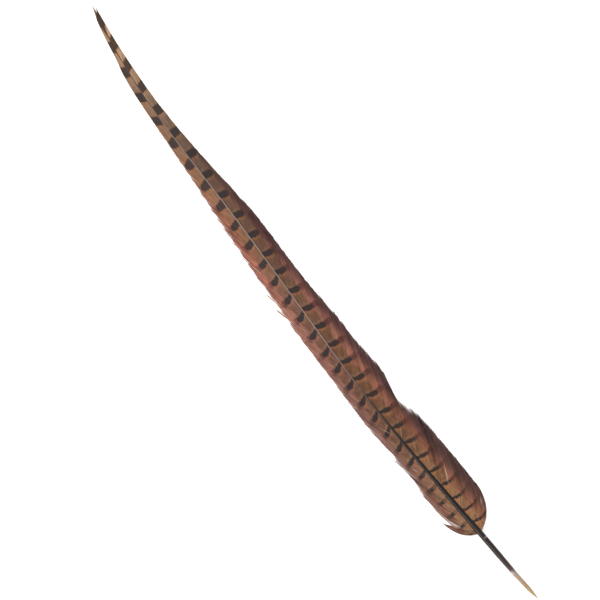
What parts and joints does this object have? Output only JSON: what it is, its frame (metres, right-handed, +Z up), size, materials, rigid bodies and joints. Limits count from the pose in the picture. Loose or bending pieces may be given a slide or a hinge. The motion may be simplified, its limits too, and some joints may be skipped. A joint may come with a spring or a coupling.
{
  "type": "pheasant tail feather",
  "caption": "Long barred pheasant tail feather lying flat: a tapering dark shaft with a pale quill end, a broad web on one side and a narrow web on the other.",
  "frame": {"origin": "centre of the feather's footprint, on the surface that it rests on", "axes": "+X from the quill's point to the feather's tip, +Y towards the narrow web's side, +Z up out of the feather's upper face"},
  "size_m": [0.5214, 0.038, 0.005],
  "materials": {
    "shaft_horn": "satin",
    "broad_barbs": "matte",
    "narrow_barbs": "matte"
  },
  "bodies": {
    "root": {"shaft": "shaft_horn", "broad_vane": "broad_barbs", "narrow_vane": "narrow_barbs"}
  },
  "joints": []
}
